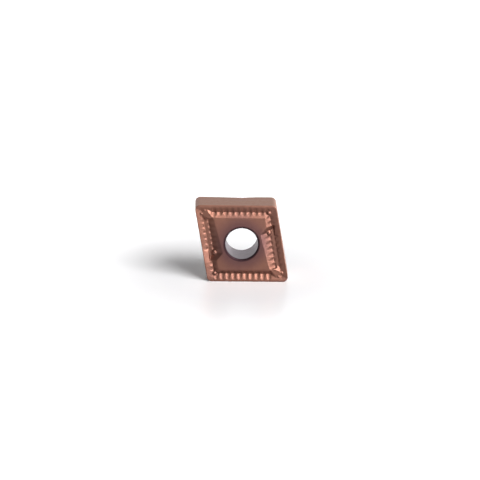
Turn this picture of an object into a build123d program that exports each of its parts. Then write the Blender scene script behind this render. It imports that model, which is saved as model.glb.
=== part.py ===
from build123d import *
import os
from math import cos, radians, sin, sqrt, tan

# Carbide insert: an 80 degree rhombic, double-sided indexable turning insert, pressed and
# sintered as one piece, with a moulded chip groove round both faces.
# Millimetres. It is modelled flat, hole axis along Z, then stood on one of its side faces.

# ---- Outline and hole ----
INSCRIBED_CIRCLE = 12.70
POINT_ANGLE = 80.0
NOSE_RADIUS = 0.80
THICKNESS = 4.76            # from the seat of one face to the cutting edge of the other
HOLE_DIAMETER = 5.16
HOLE_CHAMFER = 0.15

# ---- Groove round each face; depths are below the cutting edge ----
SEAT_RISE = 0.18            # the flat seat stands this far above the cutting edge
SEAT_INSET = 2.02           # from the cutting edge to the seat
SEAT_WALL_ANGLE = 32.0      # slope of the wall from the groove up to the seat
LAND_WIDTH = 0.42
LAND_NOSE_RADIUS = 0.75
WIDE_LAND_ANGLE = 12.0      # the land of a wide side leans inwards
WIDE_LAND_START = 0.30      # from the next edge to where it starts to lean
RAKE_RUN = 0.62
GROOVE_DEPTH = 0.24

# ---- Trough along each wide side: distances from the acute corner, or back from the obtuse ----
EDGE_DROP = 0.36            # the edge sinks by this much
DROP_START = 1.00           # from the acute corner
DROP_LOWEST = 5.30          # from the obtuse corner
DROP_END = 3.10             # from the obtuse corner
TROUGH_DEPTH = 0.34         # below the sinking edge
TROUGH_FLOOR = (1.00, 1.72)                     # insets of the floor's two edges
TROUGH_NEAR_ANGLE = 72.0
TROUGH_WALL_ANGLE = 33.0
TROUGH_START = ((2.06, 1.58), (3.07, 2.57))     # end wall's top edge: (from the acute corner, inset)
TROUGH_START_ANGLE = 40.0
TROUGH_END = ((3.20, 1.92), (4.30, 3.12))       # end wall's top edge: (from the obtuse corner, inset)
TROUGH_END_ANGLE = 45.0

# ---- Prong of the seat towards each acute nose: (from the acute corner, inset) ----
PRONG = ((3.74, SEAT_INSET), (2.90, 1.88), (2.22, 1.60), (1.80, 1.18), (1.62, 1.30), (1.56, 1.58))
PRONG_ROOT = 3.60           # where its top starts to fall, along the diagonal from the corner
PRONG_SLOPE = 10.0

# ---- Rows of flutes with ribs between them; a path of (inset, depth) starts and ends in the open ----
RIB_PITCH = 0.93
NARROW_FIRST_RIB = 2.67     # from the acute corner
NARROW_ROW_END = 0.85       # least distance from the last rib to the obtuse corner
NARROW_PATH = ((0.05, -0.11), (1.28, 0.43), (2.20, -0.39))
NARROW_FLUTE_RADIUS = 0.95
OBTUSE_FIRST_RIB = 3.22     # from the obtuse corner
OBTUSE_FLUTES = 2
WIDE_FIRST_RIB = 2.60       # from the acute corner
NOTCH_PATH = ((0.10, -0.07), (0.98, 0.335))
NOTCH_RADIUS = 0.50
WALL_PATH = ((1.20, 0.22), (1.76, 0.46), (3.00, -0.54))
WALL_FLUTE_RADIUS = 0.90

# ---- Round bumps: radius at the foot and height of each ----
MAIN_BUMP = (4.41, 1.86)    # from the obtuse corner along the wide side, and inset
MAIN_BUMP_SIZE = (0.47, 0.45)
MAIN_BUMP_GAP = 0.25        # least distance from the last wall rib to the middle of the bump
OBTUSE_BUMP_INSET = 1.30    # from both edges of the obtuse corner
OBTUSE_BUMP_SIZE = (0.36, 0.24)
NOSE_BUMP_NEAR = 0.88       # from the nearer edge of the acute nose
NOSE_BUMP_FAR = 1.45        # from the other edge
NOSE_BUMP_SIZE = (0.30, 0.20)

# ---- Worked out from the above ----
EDGE_LEVEL = (THICKNESS - SEAT_RISE) / 2
SEAT_LEVEL = EDGE_LEVEL + SEAT_RISE
FLOOR_LEVEL = EDGE_LEVEL - GROOVE_DEPTH
RAKE_END = LAND_WIDTH + RAKE_RUN
LEAN = radians(90 - POINT_ANGLE)
SIDE = INSCRIBED_CIRCLE / cos(LEAN)
FALL_LENGTH = SIDE - DROP_LOWEST - DROP_START
DROP_RATE = EDGE_DROP / FALL_LENGTH
CLEAR = 1.5                     # how far the cutting shapes reach past the body
ACUTE = Vector(-(SIDE + INSCRIBED_CIRCLE * tan(LEAN)) / 2, INSCRIBED_CIRCLE / 2)
UP = Vector(0, 0, 1)
ALONG_NARROW = Vector(1, 0)
INTO_NARROW = Vector(0, -1)
ALONG_WIDE = Vector(sin(LEAN), -cos(LEAN))
INTO_WIDE = Vector(cos(LEAN), sin(LEAN))
SINKING = ALONG_WIDE - UP * DROP_RATE


def on_narrow(s, inset, level=0.0):
    """The point s along the narrow side from the acute corner, inset from its edge."""
    return ACUTE + ALONG_NARROW * s + INTO_NARROW * inset + UP * level


def on_wide(s, inset, level=0.0):
    """The point s along the wide side from the acute corner, inset from its edge."""
    return ACUTE + ALONG_WIDE * s + INTO_WIDE * inset + UP * level


def sunk(s, depth):
    """The level at a depth below the sinking edge of the wide side."""
    return EDGE_LEVEL - DROP_RATE * (s - DROP_START) - depth


def from_acute(from_narrow, from_wide, level=0.0):
    """The point at two insets from the sides that meet in the acute corner."""
    return on_narrow((from_wide + from_narrow * sin(LEAN)) / cos(LEAN), from_narrow, level)


def from_obtuse(inset, level=0.0):
    """The point at one inset from both sides that meet in the obtuse corner."""
    return on_narrow(SIDE - inset * (1 - sin(LEAN)) / cos(LEAN), inset, level)


def half_turn(point):
    """The point half a turn round the hole axis."""
    return Vector(-point.X, -point.Y, point.Z)


def twice(shapes):
    """The shapes and their copies half a turn round the hole axis."""
    return shapes + [shape.rotate(Axis.Z, 180) for shape in shapes]


def polygon(points):
    """A flat face through the points."""
    return make_face(Polyline(*points, close=True)).face()


def rhombus(inset, level):
    """The outline, drawn in from the edges, as a face with sharp corners."""
    corners = [from_obtuse(inset, level), from_acute(inset, inset, level)]
    return polygon(corners + [half_turn(corner) for corner in corners])


def slope_run(height, angle):
    """How far a wall of this slope runs sideways over a height."""
    return height / tan(radians(angle))


def turned_over(shape):
    """The shape turned over about the diagonal through the acute corners."""
    return shape.rotate(Axis((0, 0, 0), ACUTE), 180)


def groove():
    """What is taken out inside the land: down the rake to the groove's floor."""
    pocket = loft([rhombus(RAKE_END, FLOOR_LEVEL), rhombus(LAND_WIDTH, EDGE_LEVEL)], ruled=True)
    corners = pocket.edges().filter_by_position(Axis.Z, FLOOR_LEVEL, EDGE_LEVEL, (False, False))
    return fillet(corners, LAND_NOSE_RADIUS)


def seat():
    """The raised seat, with sloping walls and a prong falling towards each acute nose."""
    half = [from_obtuse(SEAT_INSET)] + [on_narrow(s, inset) for s, inset in PRONG]
    half += [on_wide(TROUGH_START[1][0], SEAT_INSET)]
    top = polygon(half + [half_turn(point) for point in half])
    height = SEAT_LEVEL - FLOOR_LEVEL
    foot = offset(top, slope_run(height, SEAT_WALL_ANGLE), kind=Kind.INTERSECTION).face()
    body = Pos(0, 0, FLOOR_LEVEL) * extrude(foot, height, taper=90 - SEAT_WALL_ANGLE)
    outward = ACUTE.normalized()
    root = ACUTE - outward * PRONG_ROOT + UP * SEAT_LEVEL
    down = outward * sin(radians(PRONG_SLOPE)) + UP * cos(radians(PRONG_SLOPE))
    body = split(body, bisect_by=Plane(root, z_dir=down * -1))
    return split(body, bisect_by=Plane(half_turn(root), z_dir=half_turn(down) * -1))


def wide_section(s, drop):
    """The leaning land and the rake of a wide side, as a face across it; what is above is cut."""
    level = EDGE_LEVEL - drop
    fall = tan(radians(WIDE_LAND_ANGLE))
    return polygon([
        on_wide(s, -CLEAR, level + CLEAR * fall),
        on_wide(s, LAND_WIDTH, level - LAND_WIDTH * fall),
        on_wide(s, RAKE_END, level - GROOVE_DEPTH),
        on_wide(s, RAKE_END, level + CLEAR),
        on_wide(s, -CLEAR, level + CLEAR),
    ])


def wide_land():
    """What makes the land of a wide side lean, with a mitre at each end."""
    shape = Solid.extrude(wide_section(0, 0), ALONG_WIDE * SIDE)
    slope = radians(WIDE_LAND_ANGLE)
    for edge_point, inwards in [(ACUTE, INTO_NARROW), (half_turn(ACUTE), INTO_NARROW * -1)]:
        start = edge_point + inwards * WIDE_LAND_START + UP * EDGE_LEVEL
        shape = split(shape, bisect_by=Plane(start, z_dir=UP * cos(slope) + inwards * sin(slope)))
    return shape


def edge_cuts():
    """What sinks a wide side's land and rake to their lowest place and raises them again."""
    section = wide_section(SIDE - DROP_LOWEST, EDGE_DROP)
    rise_length = DROP_LOWEST - DROP_END
    rise = ALONG_WIDE + UP * (EDGE_DROP / rise_length)
    past_end = rise_length + LAND_WIDTH
    return [Solid.extrude(section, SINKING * -FALL_LENGTH), Solid.extrude(section, rise * past_end)]


def end_wall(top_edge, angle):
    """The plane of a trough's end wall, facing into the trough, through two points of its top."""
    first, second = top_edge
    outward = UP.cross(second - first).normalized()
    return Plane(first, z_dir=UP * cos(radians(angle)) - outward * sin(radians(angle)))


def trough():
    """The trough in a wide side, with a sinking floor, its long wall and its end walls."""
    mouth = CLEAR + TROUGH_DEPTH
    near, far = TROUGH_FLOOR
    level = sunk(0, TROUGH_DEPTH)
    section = polygon([
        on_wide(0, near, level),
        on_wide(0, far, level),
        on_wide(0, far + slope_run(mouth, TROUGH_WALL_ANGLE), level + mouth),
        on_wide(0, near - slope_run(mouth, TROUGH_NEAR_ANGLE), level + mouth),
    ])
    shape = Solid.extrude(section, SINKING * SIDE)
    start = [on_wide(s, inset, SEAT_LEVEL) for s, inset in TROUGH_START]
    end = [on_wide(SIDE - s, inset, SEAT_LEVEL) for s, inset in TROUGH_END]
    cross_end = [on_wide(SIDE - DROP_END, inset, FLOOR_LEVEL) for inset in TROUGH_FLOOR]
    shape = split(shape, bisect_by=end_wall(start, TROUGH_START_ANGLE))
    shape = split(shape, bisect_by=end_wall(end[::-1], TROUGH_END_ANGLE))
    return split(shape, bisect_by=end_wall(cross_end[::-1], TROUGH_END_ANGLE))


def comb(origin, along, up, radius, count):
    """The outline across a row of flutes, whose bottoms are on a line through origin."""
    waist = up * (radius - sqrt(radius ** 2 - (RIB_PITCH / 2) ** 2))
    ribs = [origin + along * RIB_PITCH * i + waist for i in range(count + 1)]
    bottoms = [origin + along * RIB_PITCH * (i + 0.5) for i in range(count)]
    arcs = [ThreePointArc(*points) for points in zip(ribs, bottoms, ribs[1:])]
    closing = Polyline(ribs[-1], ribs[-1] + up * CLEAR, ribs[0] + up * CLEAR, ribs[0])
    return make_face(arcs + [closing]).face()


def flute_row(start, into, along, path, radius, count):
    """A row of flutes from the edge point start, each across the groove along the path,
    mitred where the path bends."""
    along = along.normalized()
    up = into.cross(along) if into.cross(along).Z > 0 else along.cross(into)
    points = [start + into * inset - up * depth for inset, depth in path]
    ways = [(b - a).normalized() for a, b in zip(points, points[1:])]
    mitres = [Plane(point, z_dir=a + b) for point, a, b in zip(points[1:], ways, ways[1:])]
    pieces = []
    for i, way in enumerate(ways):
        before = CLEAR / 2 if i > 0 else 0
        after = CLEAR / 2 if i < len(mitres) else 0
        rise = (up - way * up.dot(way)).normalized()
        outline = comb(points[i] - way * before, along, rise, radius, count)
        piece = Solid.extrude(outline, way * ((points[i + 1] - points[i]).length + before + after))
        if i > 0:
            piece = split(piece, bisect_by=mitres[i - 1])
        if i < len(mitres):
            piece = split(piece, bisect_by=mitres[i], keep=Keep.BOTTOM)
        pieces.append(piece)
    return pieces


def narrow_row():
    """The flutes along a narrow side."""
    start = on_narrow(NARROW_FIRST_RIB, 0, EDGE_LEVEL)
    count = int((SIDE - NARROW_FIRST_RIB - NARROW_ROW_END) / RIB_PITCH)
    return flute_row(start, INTO_NARROW, ALONG_NARROW, NARROW_PATH, NARROW_FLUTE_RADIUS, count)


def obtuse_row():
    """The flutes along a wide side, between its trough and the obtuse corner."""
    start = on_wide(SIDE - OBTUSE_FIRST_RIB, 0, EDGE_LEVEL)
    return flute_row(start, INTO_WIDE, ALONG_WIDE, NARROW_PATH, NARROW_FLUTE_RADIUS, OBTUSE_FLUTES)


def trough_row(path, radius):
    """A row of flutes along the trough of a wide side, sinking with its floor."""
    start = on_wide(WIDE_FIRST_RIB, 0, sunk(WIDE_FIRST_RIB, 0))
    count = int((SIDE - MAIN_BUMP[0] - MAIN_BUMP_GAP - WIDE_FIRST_RIB) / RIB_PITCH)
    return flute_row(start, INTO_WIDE, SINKING, path, radius, count)


def dome(point, size):
    """A round dome that stands on a point of the floor."""
    foot_radius, height = size
    radius = (foot_radius ** 2 + height ** 2) / (2 * height)
    return Pos(point + UP * (height - radius)) * Sphere(radius)


def button(point, size):
    """A low round button with sloping sides, rooted under a point of the floor."""
    foot_radius, height = size
    root = foot_radius + height
    return Pos(point) * Cone(root, foot_radius - height, 2 * height)


def bumps():
    """The bumps round one acute corner and in the next obtuse one."""
    main = SIDE - MAIN_BUMP[0]
    return [
        dome(on_wide(main, MAIN_BUMP[1], sunk(main, TROUGH_DEPTH)), MAIN_BUMP_SIZE),
        button(from_obtuse(OBTUSE_BUMP_INSET, FLOOR_LEVEL), OBTUSE_BUMP_SIZE),
        button(from_acute(NOSE_BUMP_NEAR, NOSE_BUMP_FAR, FLOOR_LEVEL), NOSE_BUMP_SIZE),
        button(from_acute(NOSE_BUMP_FAR, NOSE_BUMP_NEAR, FLOOR_LEVEL), NOSE_BUMP_SIZE),
    ]


def upper_half():
    """The body above its middle plane, with everything that is moulded into its face."""
    outline = rhombus(0, 0)
    body = extrude(fillet(outline.vertices(), NOSE_RADIUS).face(), EDGE_LEVEL)
    body = body - groove() + seat()
    body -= twice([wide_land(), trough()] + edge_cuts())
    body -= twice(narrow_row() + obtuse_row())
    body -= twice(trough_row(NOTCH_PATH, NOTCH_RADIUS) + trough_row(WALL_PATH, WALL_FLUTE_RADIUS))
    return body + twice(bumps())


def hole():
    """The hole with its chamfered mouths, as the turned shape that cuts it."""
    bore = HOLE_DIAMETER / 2
    mouth = bore + HOLE_CHAMFER + CLEAR
    top = SEAT_LEVEL + CLEAR
    outline = [(0, 0), (bore, 0), (bore, SEAT_LEVEL - HOLE_CHAMFER), (mouth, top), (0, top)]
    upper = revolve(Plane.XZ * polygon([Vector(*point) for point in outline]), Axis.Z)
    return upper + mirror(upper, Plane.XY)


def insert():
    """The whole insert, standing on one of its narrow sides."""
    half = upper_half()
    body = half + turned_over(half) - hole()
    return Pos(0, 0, INSCRIBED_CIRCLE / 2) * body.rotate(Axis.X, 90)


if __name__ == "__main__":
    os.makedirs("parts", exist_ok=True)
    body = insert()
    export_step(body, "parts/carbide_insert.step")
    print("carbide_insert", body.volume, body.bounding_box().size)
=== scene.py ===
from math import cos, radians, sin

import bpy
from mathutils import Matrix, Vector


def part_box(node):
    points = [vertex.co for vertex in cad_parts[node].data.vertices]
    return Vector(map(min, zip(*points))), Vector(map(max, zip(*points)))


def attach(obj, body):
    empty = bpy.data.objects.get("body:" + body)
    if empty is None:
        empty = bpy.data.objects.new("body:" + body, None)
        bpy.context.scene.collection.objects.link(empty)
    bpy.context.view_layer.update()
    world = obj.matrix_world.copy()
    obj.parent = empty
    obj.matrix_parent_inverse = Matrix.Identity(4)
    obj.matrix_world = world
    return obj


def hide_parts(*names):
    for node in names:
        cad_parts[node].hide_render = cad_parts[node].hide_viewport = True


# The looks of a coated carbide turning insert. Metres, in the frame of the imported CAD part.

# ---- Camera, fitted to the photograph's corners and hole ----
FRAME_PIXELS = 480
FOCAL_PIXELS = 2514.7
SENSOR_WIDTH = 36.0                 # millimetres, as Blender counts the lens
CAMERA_DISTANCE = 0.400
CAMERA_ELEVATION = radians(18.41)
CAMERA_YAW = radians(-1.03)
CAMERA_ROLL = radians(0.889)
TARGET_PIXEL = (241.52, 239.25)     # where the insert's centre lies in the photograph
NEAR_CLIP = 0.01

# ---- Light ----
# A lamp's place is its azimuth from the front towards the right, its elevation and its distance.
KEY_PLACE = (radians(45), radians(42), 0.55)
KEY_SIZE = (0.35, 0.33)
KEY_POWER = 4.3
STRIP_PLACE = (radians(45), radians(15), 0.50)
STRIP_SIZE = (0.52, 0.15)
STRIP_POWER = 3.6
TOP_PLACE = (radians(5), radians(60), 0.50)
TOP_SIZE = (0.34, 0.16)
TOP_POWER = 0.75
BACK_PLACE = (radians(116), radians(16), 0.50)
BACK_SIZE = (0.36, 0.18)
BACK_POWER = 1.35
AMBIENT = 0.07                      # what the world gives to diffuse surfaces
BACKGROUND = 1.0                    # what the camera sees, and reflections towards the right and back
DARK_SIDE = 0.28                    # what reflections find towards the front and left
BRIGHT_DIRECTION = (0.6, 0.8)       # X and Y of a level direction to the right and back
ROOM_TURN = (-0.5, 0.3)             # how far along it the room starts to brighten, and is white

# ---- Floor, which glows a little to the camera and to reflections, as white paper would look ----
FLOOR_SIZE = 4.0
FLOOR_COLOUR = (0.93, 0.925, 0.94)
FLOOR_ROUGHNESS = 0.30
PAPER_FADE = (0.010, 0.036)         # distances from the insert's centre, where the glow starts and is full
PAPER_GLOW_NEAR = 0.04              # up to the first distance, where the deepest shadow lies
PAPER_GLOW = 0.48                   # past the second distance

# ---- Colours of the insert, linear ----
BRONZE = (0.176, 0.083, 0.062)
BRONZE_WARM = (0.201, 0.094, 0.066)
BRONZE_DARK = (0.150, 0.073, 0.058)
BRONZE_PURPLE = (0.086, 0.044, 0.048)
# The coating's hue on the flanks, painted lighter: a painted highlight for the light the up-facing flank
# catches.
LIT_FLANK_BRONZE = (0.275, 0.153, 0.113)
BARE_CARBIDE = (0.235, 0.207, 0.225)
# Painted shade: near black at the hole's mouth, where the rim turns into the hole.
HOLE_MOUTH_SHADE = (0.028, 0.014, 0.017)

# ---- Where the colours lie ----
HOLE_RADIUS = 0.00258
PURPLE_REACH = (2.0, 1.05)          # in hole radii, where the purple starts, and where it is deepest
PURPLE_SHARE = 0.75
MOUTH_REACH = (1.17, 1.08)          # in hole radii, where the coating gives way to the hole's painted shade and bare carbide
BARE_DEPTH = (0.92, 0.80)           # in half thicknesses, where the painted shade at the hole's mouth turns to bare carbide
LIT_FLANK_TURN = (0.35, 0.08)           # the normal's part across the faces, from a face's tone to the flanks' tone, painted lighter as if lit
CLOUD_SCALE = 260.0                 # soft warm and dark patches
CLOUD_RANGE = (0.30, 0.70)
PLAIN_SHARE = 0.5                   # how much plain bronze tones the patches down

# ---- Surface of the coating ----
GRAIN_SCALE = 9000.0
GRAIN_DETAIL = 3.0
COARSE_SCALE = 2600.0
COARSE_SHARE = 0.8
PATCH_SCALE = 1500.0                # patches of duller and shinier coating
PATCH_RANGE = (0.3, 0.7)
PATCH_ROUGHNESS = (0.39, 0.47)
GRAIN_ROUGHNESS = 0.08
BUMP_STRENGTH = 0.30
BUMP_HEIGHT = 0.00002
EDGE_RADIUS = 0.00006               # rounding that only shows in the shading
EDGE_SAMPLES = 8

# ---- Mesh of the insert, worked in millimetres ----
MILLIMETRES = 1000.0
GRID_SIZE = 0.048
SOFTEN_FACTOR = 0.5
SOFTEN_STEPS = 9
THINNING = 0.285                    # share of the triangles kept, mostly where the surface bends


class Shader:
    """A short way to build a material's nodes and join them."""

    def __init__(self, material):
        material.use_nodes = True
        self.tree = material.node_tree
        self.tree.nodes.clear()

    def node(self, kind, inputs=None, **settings):
        node = self.tree.nodes.new(kind)
        for name, value in settings.items():
            setattr(node, name, value)
        for name, value in (inputs or {}).items():
            self.feed(node.inputs[name], value)
        return node

    def feed(self, socket, value):
        if isinstance(value, bpy.types.NodeSocket):
            self.tree.links.new(value, socket)
        elif isinstance(value, tuple) and len(value) == 3 and socket.type == "RGBA":
            socket.default_value = (*value, 1.0)
        else:
            socket.default_value = value

    def math(self, operation, first, second=0.0):
        node = self.node("ShaderNodeMath", operation=operation)
        self.feed(node.inputs[0], first)
        self.feed(node.inputs[1], second)
        return node.outputs[0]

    def mix(self, factor, first, second):
        """Mixes two colours. The node's colour sockets are 6 and 7."""
        node = self.node("ShaderNodeMix", data_type="RGBA")
        self.feed(node.inputs[0], factor)
        self.feed(node.inputs[6], first)
        self.feed(node.inputs[7], second)
        return node.outputs[2]

    def blend(self, factor, first, second):
        """Mixes two plain values. The node's value sockets are 2 and 3."""
        node = self.node("ShaderNodeMix", data_type="FLOAT")
        self.feed(node.inputs[0], factor)
        self.feed(node.inputs[2], first)
        self.feed(node.inputs[3], second)
        return node.outputs[0]

    def ramp(self, value, low, high, to_low=0.0, to_high=1.0):
        node = self.node("ShaderNodeMapRange", {"Value": value, "From Min": low, "From Max": high,
                                                "To Min": to_low, "To Max": to_high})
        node.interpolation_type = "SMOOTHSTEP"
        return node.outputs["Result"]

    def noise(self, point, scale, detail=2.0):
        node = self.node("ShaderNodeTexNoise", {"Vector": point, "Scale": scale, "Detail": detail})
        return node.outputs["Fac"]


def place_camera(centre):
    """Looks down on the insert's centre, with the lens shifted so that it lies where the photo has it."""
    back = Vector((sin(CAMERA_YAW) * cos(CAMERA_ELEVATION),
                   -cos(CAMERA_YAW) * cos(CAMERA_ELEVATION),
                   sin(CAMERA_ELEVATION)))
    level = Vector((cos(CAMERA_YAW), sin(CAMERA_YAW), 0))
    upright = back.cross(level)
    right = level * cos(CAMERA_ROLL) + upright * sin(CAMERA_ROLL)
    up = back.cross(right)
    camera = bpy.data.objects.new("camera", bpy.data.cameras.new("camera"))
    axes = Matrix((right, up, back)).transposed().to_4x4()
    camera.matrix_world = Matrix.Translation(centre + back * CAMERA_DISTANCE) @ axes
    camera.data.sensor_width = SENSOR_WIDTH
    camera.data.lens = FOCAL_PIXELS * SENSOR_WIDTH / FRAME_PIXELS
    camera.data.shift_x = (FRAME_PIXELS / 2 - TARGET_PIXEL[0]) / FRAME_PIXELS
    camera.data.shift_y = (TARGET_PIXEL[1] - FRAME_PIXELS / 2) / FRAME_PIXELS
    camera.data.clip_start = NEAR_CLIP
    bpy.context.scene.collection.objects.link(camera)
    bpy.context.scene.camera = camera


def add_area_light(name, centre, place, size, power):
    """A rectangular lamp that faces the insert's centre."""
    azimuth, elevation, distance = place
    towards = Vector((sin(azimuth) * cos(elevation), -cos(azimuth) * cos(elevation), sin(elevation)))
    light = bpy.data.objects.new(name, bpy.data.lights.new(name, "AREA"))
    light.data.shape = "RECTANGLE"
    light.data.size, light.data.size_y = size
    light.data.energy = power
    light.location = centre + towards * distance
    light.rotation_euler = towards.to_track_quat("Z", "Y").to_euler()
    bpy.context.scene.collection.objects.link(light)
    return light


def light_world():
    """White to the camera and dim to diffuse surfaces. Reflections find it white to the right and back."""
    world = bpy.data.worlds.new("world")
    bpy.context.scene.world = world
    sh = Shader(world)
    path = sh.node("ShaderNodeLightPath").outputs
    mirrored = sh.math("MAXIMUM", path["Is Glossy Ray"], path["Is Transmission Ray"])
    ray = sh.node("ShaderNodeTexCoord").outputs["Generated"]
    towards = sh.node("ShaderNodeSeparateXYZ", {"Vector": ray}).outputs
    along_x = sh.math("MULTIPLY", towards["X"], BRIGHT_DIRECTION[0])
    along_y = sh.math("MULTIPLY", towards["Y"], BRIGHT_DIRECTION[1])
    room = sh.ramp(sh.math("ADD", along_x, along_y), *ROOM_TURN, DARK_SIDE, BACKGROUND)
    strength = sh.blend(mirrored, AMBIENT, room)
    strength = sh.blend(path["Is Camera Ray"], strength, BACKGROUND)
    light = sh.node("ShaderNodeBackground", {"Color": (1.0, 1.0, 1.0), "Strength": strength})
    sh.node("ShaderNodeOutputWorld", {"Surface": light.outputs["Background"]})


def add_floor():
    """A wide pale sheet under the insert."""
    half = FLOOR_SIZE / 2
    corners = [(-half, -half, 0), (half, -half, 0), (half, half, 0), (-half, half, 0)]
    mesh = bpy.data.meshes.new("floor")
    mesh.from_pydata(corners, [], [(0, 1, 2, 3)])
    floor = bpy.data.objects.new("floor", mesh)
    bpy.context.scene.collection.objects.link(floor)
    material = bpy.data.materials.new("floor")
    sh = Shader(material)
    paint = sh.node("ShaderNodeBsdfPrincipled", {"Base Color": FLOOR_COLOUR, "Roughness": FLOOR_ROUGHNESS})
    point = sh.node("ShaderNodeTexCoord").outputs["Object"]
    far = sh.node("ShaderNodeVectorMath", {"Vector": point}, operation="LENGTH").outputs["Value"]
    path = sh.node("ShaderNodeLightPath").outputs
    seen = sh.math("MAXIMUM", path["Is Camera Ray"], path["Is Glossy Ray"])
    seen = sh.math("MAXIMUM", seen, path["Is Transmission Ray"])
    paper = sh.math("MULTIPLY", sh.ramp(far, *PAPER_FADE, PAPER_GLOW_NEAR, PAPER_GLOW), seen)
    sh.feed(paint.inputs["Emission Color"], (1.0, 1.0, 1.0))
    sh.feed(paint.inputs["Emission Strength"], paper)
    sh.node("ShaderNodeOutputMaterial", {"Surface": paint.outputs["BSDF"]})
    mesh.materials.append(material)


def soft_edged_insert(node):
    """The pressed body with its edges and ribs slightly rounded, as sintering and honing leave them."""
    mesh = node.data.copy()
    mesh.name = "insert"
    mesh.materials.clear()
    mesh.transform(node.matrix_world)
    mesh.transform(Matrix.Scale(MILLIMETRES, 4))
    piece = bpy.data.objects.new("insert", mesh)
    bpy.context.scene.collection.objects.link(piece)
    grid = piece.modifiers.new("grid", "REMESH")
    grid.mode = "VOXEL"
    grid.voxel_size = GRID_SIZE
    soften = piece.modifiers.new("soften", "SMOOTH")
    soften.factor = SOFTEN_FACTOR
    soften.iterations = SOFTEN_STEPS
    thin = piece.modifiers.new("thin", "DECIMATE")
    thin.ratio = THINNING
    evaluated = piece.evaluated_get(bpy.context.evaluated_depsgraph_get())
    piece.data = bpy.data.meshes.new_from_object(evaluated)
    piece.modifiers.clear()
    piece.data.transform(Matrix.Scale(1 / MILLIMETRES, 4))
    piece.data.shade_smooth()
    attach(piece, "root")
    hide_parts("carbide_insert")
    return piece


def coated_carbide(centre, half_depth):
    """Bronze coating with a fine grain, purple near the hole, flanks painted lighter as if lit, painted
    shade at the hole's mouth and bare carbide deeper inside it.
    """
    material = bpy.data.materials.new("coated_carbide")
    sh = Shader(material)
    coordinates = sh.node("ShaderNodeTexCoord").outputs
    point = coordinates["Object"]
    place = sh.node("ShaderNodeSeparateXYZ", {"Vector": point}).outputs
    facing = sh.node("ShaderNodeSeparateXYZ", {"Vector": coordinates["Normal"]}).outputs
    depth = sh.math("ABSOLUTE", place["Y"])
    across = place["X"]
    above = sh.math("SUBTRACT", place["Z"], centre.z)
    squares = [sh.math("MULTIPLY", step, step) for step in (across, above)]
    radius = sh.math("SQRT", sh.math("ADD", *squares))

    def hole_ramp(reach):
        """Rises from 0 to 1 between two distances from the hole's axis, given in hole radii."""
        return sh.ramp(radius, HOLE_RADIUS * reach[0], HOLE_RADIUS * reach[1])

    clouds = sh.ramp(sh.noise(point, CLOUD_SCALE), *CLOUD_RANGE)
    coat = sh.mix(clouds, BRONZE_DARK, BRONZE_WARM)
    coat = sh.mix(PLAIN_SHARE, coat, BRONZE)
    coat = sh.mix(sh.math("MULTIPLY", hole_ramp(PURPLE_REACH), PURPLE_SHARE), coat, BRONZE_PURPLE)
    # The flanks and steep walls are painted lighter: painted light, as the lit top flank looks.
    lit_flank_share = sh.ramp(sh.math("ABSOLUTE", facing["Y"]), *LIT_FLANK_TURN)
    coat = sh.mix(lit_flank_share, coat, LIT_FLANK_BRONZE)
    # Inside the hole: painted shade at the mouth, bare carbide deeper in.
    bare = sh.ramp(depth, half_depth * BARE_DEPTH[0], half_depth * BARE_DEPTH[1])
    inner = sh.mix(bare, HOLE_MOUTH_SHADE, BARE_CARBIDE)
    colour = sh.mix(hole_ramp(MOUTH_REACH), coat, inner)

    coarse = sh.math("MULTIPLY", sh.noise(point, COARSE_SCALE), COARSE_SHARE)
    grain = sh.math("ADD", sh.noise(point, GRAIN_SCALE, GRAIN_DETAIL), coarse)
    patches = sh.ramp(sh.noise(point, PATCH_SCALE), *PATCH_RANGE, *PATCH_ROUGHNESS)
    rough = sh.math("ADD", patches, sh.math("MULTIPLY", grain, GRAIN_ROUGHNESS))
    edge = sh.node("ShaderNodeBevel", {"Radius": EDGE_RADIUS}, samples=EDGE_SAMPLES)
    bump = sh.node("ShaderNodeBump", {"Height": grain, "Strength": BUMP_STRENGTH, "Distance": BUMP_HEIGHT,
                                      "Normal": edge.outputs["Normal"]})
    metal = sh.node("ShaderNodeBsdfPrincipled", {"Base Color": colour, "Metallic": 1.0, "Roughness": rough,
                                                 "Normal": bump.outputs["Normal"]})
    sh.node("ShaderNodeOutputMaterial", {"Surface": metal.outputs["BSDF"]})
    return material


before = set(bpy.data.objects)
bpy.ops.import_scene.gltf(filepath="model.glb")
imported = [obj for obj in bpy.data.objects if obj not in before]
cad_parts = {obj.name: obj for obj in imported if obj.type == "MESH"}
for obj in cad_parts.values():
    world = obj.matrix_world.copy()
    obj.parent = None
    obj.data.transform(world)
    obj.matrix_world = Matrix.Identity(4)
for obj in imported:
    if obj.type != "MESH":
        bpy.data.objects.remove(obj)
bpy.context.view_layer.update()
low, high = [Vector(corner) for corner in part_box("carbide_insert")]
middle = Vector((0, 0, (low.z + high.z) / 2))

bpy.context.scene.view_settings.view_transform = "Standard"
place_camera(middle)
light_world()
add_area_light("key", middle, KEY_PLACE, KEY_SIZE, KEY_POWER)
strip = add_area_light("strip", middle, STRIP_PLACE, STRIP_SIZE, STRIP_POWER)
top = add_area_light("top", middle, TOP_PLACE, TOP_SIZE, TOP_POWER)
back = add_area_light("back", middle, BACK_PLACE, BACK_SIZE, BACK_POWER)
for lamp in (strip, top, back):
    lamp.visible_diffuse = False    # they only draw highlights, and the key casts the one shadow
add_floor()

insert = soft_edged_insert(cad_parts["carbide_insert"])
insert.data.materials.append(coated_carbide(middle, high.y))
